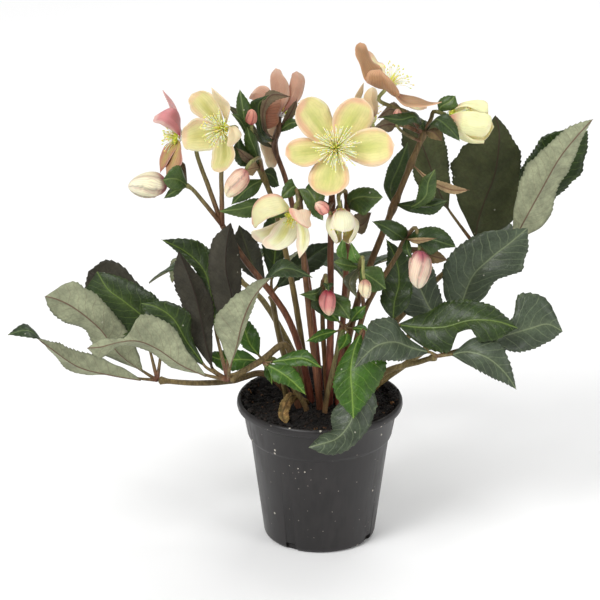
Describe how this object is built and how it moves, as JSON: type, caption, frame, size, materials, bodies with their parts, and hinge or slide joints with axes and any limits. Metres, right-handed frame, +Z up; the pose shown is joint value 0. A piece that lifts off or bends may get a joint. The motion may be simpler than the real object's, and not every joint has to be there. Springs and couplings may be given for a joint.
{
  "type": "potted hellebore plant",
  "caption": "Hellebore in flower in a round plastic nursery pot, with open and nodding blooms, buds on leafy stems and spreading divided leaves. Stands on its base.",
  "frame": {"origin": "middle of the pot's underside, on the surface that the pot stands on", "axes": "+Z up along the pot's axis, +X to the plant's right and +Y to its back; the largest open bloom faces -Y"},
  "size_m": [0.4482, 0.2683, 0.4086],
  "materials": {
    "pot": "satin",
    "soil": "matte",
    "withered_leaf": "matte",
    "leaf": "satin",
    "stem": "satin",
    "sepal": "satin",
    "stamen": "matte",
    "bud": "satin"
  },
  "bodies": {
    "root": {"pot": "pot", "soil": "soil", "withered_leaf": "withered_leaf", "leaf_left_far": "leaf", "leaf_left_near": "leaf", "leaf_young_left": "leaf", "leaf_young_front": "leaf", "leaf_young_centre": "leaf", "leaf_front_hanging": "leaf", "leaf_right_front": "leaf", "leaf_right_upper": "leaf", "leaf_right_middle": "leaf", "leaf_right_back": "leaf", "leaf_right_far": "leaf", "leaf_centre_back": "leaf", "leaf_back": "leaf", "leaf_back_left": "leaf", "stem_front": "stem", "stem_left": "stem", "stem_buds": "stem", "stem_back": "stem", "stem_nodding": "stem", "stem_globe": "stem", "stem_tall": "stem", "stem_right": "stem", "stem_short": "stem", "bloom_front": "sepal", "boss_front": "stamen", "bloom_top": "sepal", "boss_top": "stamen", "bloom_behind_top": "sepal", "boss_behind_top": "stamen", "bloom_left_pink": "sepal", "boss_left_pink": "stamen", "bloom_left_cream": "sepal", "boss_left_cream": "stamen", "bloom_nodding": "sepal", "boss_nodding": "stamen", "bloom_globe": "sepal", "boss_globe": "stamen", "bloom_right_yellow": "sepal", "boss_right_yellow": "stamen", "bloom_back_pink": "sepal", "boss_back_pink": "stamen", "bud_left": "bud", "bud_hanging": "bud", "bud_upper_left": "bud", "bud_pink": "bud", "bud_low": "bud", "bud_middle": "bud", "bud_right": "bud", "bud_top": "bud"}
  },
  "joints": []
}
